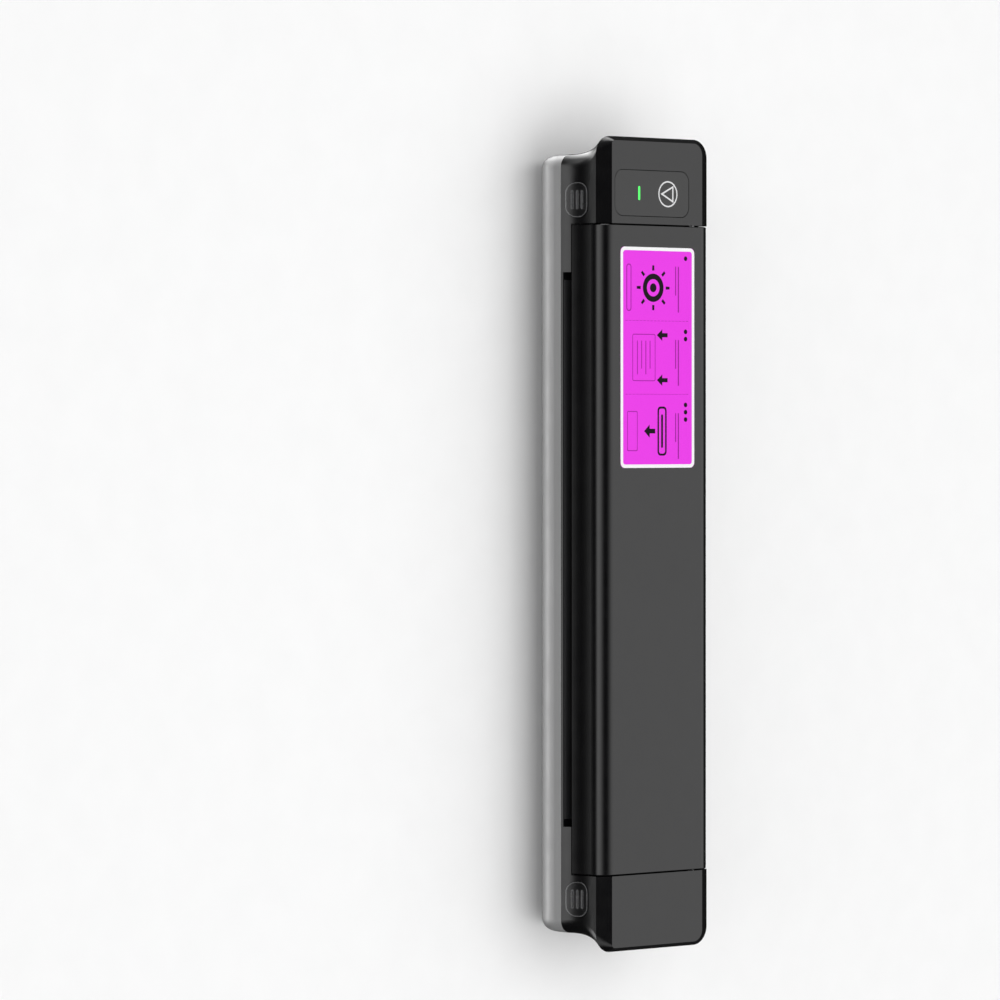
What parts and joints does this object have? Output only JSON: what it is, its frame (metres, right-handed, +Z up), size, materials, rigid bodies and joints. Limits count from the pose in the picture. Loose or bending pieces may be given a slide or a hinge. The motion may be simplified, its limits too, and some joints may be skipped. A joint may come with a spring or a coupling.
{
  "type": "portable thermal stencil printer",
  "caption": "Slim portable stencil copier: long coved casing, hinged cover with a roller over a print bar, release buttons at both ends, flush key and a printed label.",
  "frame": {"origin": "middle of the casing's outline, at the height of the table under the rubber feet", "axes": "+Z up; +X along the machine, from the control end to the far end; -Y is the front with the paper outlet"},
  "size_m": [0.3104, 0.0624, 0.0411],
  "materials": {
    "casing_plastic": "satin black moulded plastic",
    "lower_plastic": "satin grey moulded plastic",
    "cover_plastic": "satin black moulded plastic",
    "inner_plastic": "fine textured black plastic",
    "key_plastic": "gloss black panel",
    "button_plastic": "satin black button",
    "label_film": "printed magenta film with a white border",
    "lamp_green": "lit green light pipe",
    "roller_rubber": "ground black rubber",
    "foot_rubber": "moulded rubber",
    "steel": "turned or stamped steel",
    "spring_steel": "spring steel",
    "aluminium": "extruded aluminium",
    "ceramic": "glazed thermal ceramic",
    "gear_plastic": "natural acetal",
    "bushing_plastic": "acetal",
    "motor_steel": "plated motor can",
    "circuit_board": "green solder mask",
    "chip_plastic": "moulded epoxy",
    "socket_steel": "plated steel shell",
    "cell_wrap": "shrink wrap",
    "switch_plastic": "switch body"
  },
  "bodies": {
    "base": {"lower_casing": "lower_plastic", "upper_casing": "casing_plastic", "hinge_pins": "steel", "idler_stud": "steel", "motor": "motor_steel", "drive_bracket": "steel", "bracket_screws": "steel", "head_springs": "spring_steel", "exit_guide": "inner_plastic", "inlet_guide": "inner_plastic", "paper_sensor": "switch_plastic", "latch_pins": "steel", "latch_springs": "spring_steel", "key_board": "circuit_board", "key_switch": "switch_plastic", "key_lamp": "chip_plastic", "key_board_screws": "steel", "main_board": "circuit_board", "board_chips": "chip_plastic", "usb_socket": "socket_steel", "board_screws": "steel", "battery_cells": "cell_wrap", "casing_screws": "steel", "rubber_feet": "foot_rubber"},
    "cover": {"cover": "cover_plastic", "cover_liner": "inner_plastic", "cover_screws": "steel", "platen_bushings": "bushing_plastic", "instruction_label": "label_film"},
    "platen": {"platen_roller": "roller_rubber", "platen_shaft": "steel", "platen_gear": "gear_plastic"},
    "idler": {"idler_gear": "gear_plastic"},
    "motor_rotor": {"motor_pinion": "gear_plastic", "motor_shaft": "steel"},
    "head": {"print_head": "ceramic", "head_heatsink": "aluminium", "head_pivot_pins": "steel"},
    "release_left": {"release_button_left": "button_plastic"},
    "release_right": {"release_button_right": "button_plastic"},
    "latch_left": {"latch_left": "inner_plastic"},
    "latch_right": {"latch_right": "inner_plastic"},
    "feed_key": {"feed_key": "key_plastic", "light_pipe": "lamp_green"}
  },
  "joints": [
    {"name": "cover_hinge", "type": "hinge", "parent": "base", "child": "cover", "pos_m": [0.0021, 0.02515, 0.035], "axis": [-1, 0, 0], "range_deg": [0, 85]},
    {"name": "platen_spin", "type": "hinge", "parent": "cover", "child": "platen", "pos_m": [0.0021, -0.008, 0.0306], "axis": [1, 0, 0], "continuous": true},
    {"name": "idler_spin", "type": "hinge", "parent": "base", "child": "idler", "pos_m": [0.1204, -0.008, 0.01528], "axis": [1, 0, 0], "continuous": true},
    {"name": "motor_spin", "type": "hinge", "parent": "base", "child": "motor_rotor", "pos_m": [0.1204, 0.00377, 0.0124], "axis": [1, 0, 0], "continuous": true},
    {"name": "head_press", "type": "hinge", "parent": "base", "child": "head", "pos_m": [0.0021, 0.002, 0.0182], "axis": [1, 0, 0], "range_deg": [0, 4], "stiffness_Nm_per_rad": 0.1, "springref_deg": -17.19, "deforming": ["head_springs"]},
    {"name": "release_left", "type": "slide", "parent": "base", "child": "release_left", "axis": [0, 1, 0], "range_m": [0, 0.002], "stiffness_N_per_m": 400, "springref_m": -0.001},
    {"name": "latch_left", "type": "hinge", "parent": "base", "child": "latch_left", "pos_m": [-0.131, -0.0204, 0.0095], "axis": [-1, 0, 0], "range_deg": [0, 6.5], "stiffness_Nm_per_rad": 0.01, "springref_deg": -2.86},
    {"name": "release_right", "type": "slide", "parent": "base", "child": "release_right", "axis": [0, 1, 0], "range_m": [0, 0.002], "stiffness_N_per_m": 400, "springref_m": -0.001},
    {"name": "latch_right", "type": "hinge", "parent": "base", "child": "latch_right", "pos_m": [0.1352, -0.0204, 0.0095], "axis": [-1, 0, 0], "range_deg": [0, 6.5], "stiffness_Nm_per_rad": 0.01, "springref_deg": -2.86},
    {"name": "feed_key_press", "type": "slide", "parent": "base", "child": "feed_key", "axis": [0, 0, -1], "range_m": [0, 0.0004], "stiffness_N_per_m": 1500, "springref_m": -0.0002}
  ],
  "couplings": [
    {"joint": "idler_spin", "follows": "platen_spin", "ratio": -0.9},
    {"joint": "motor_spin", "follows": "platen_spin", "ratio": 1.8},
    {"joint": "latch_left", "follows": "release_left", "rad_per_m": 51.68},
    {"joint": "latch_right", "follows": "release_right", "rad_per_m": 51.68}
  ]
}
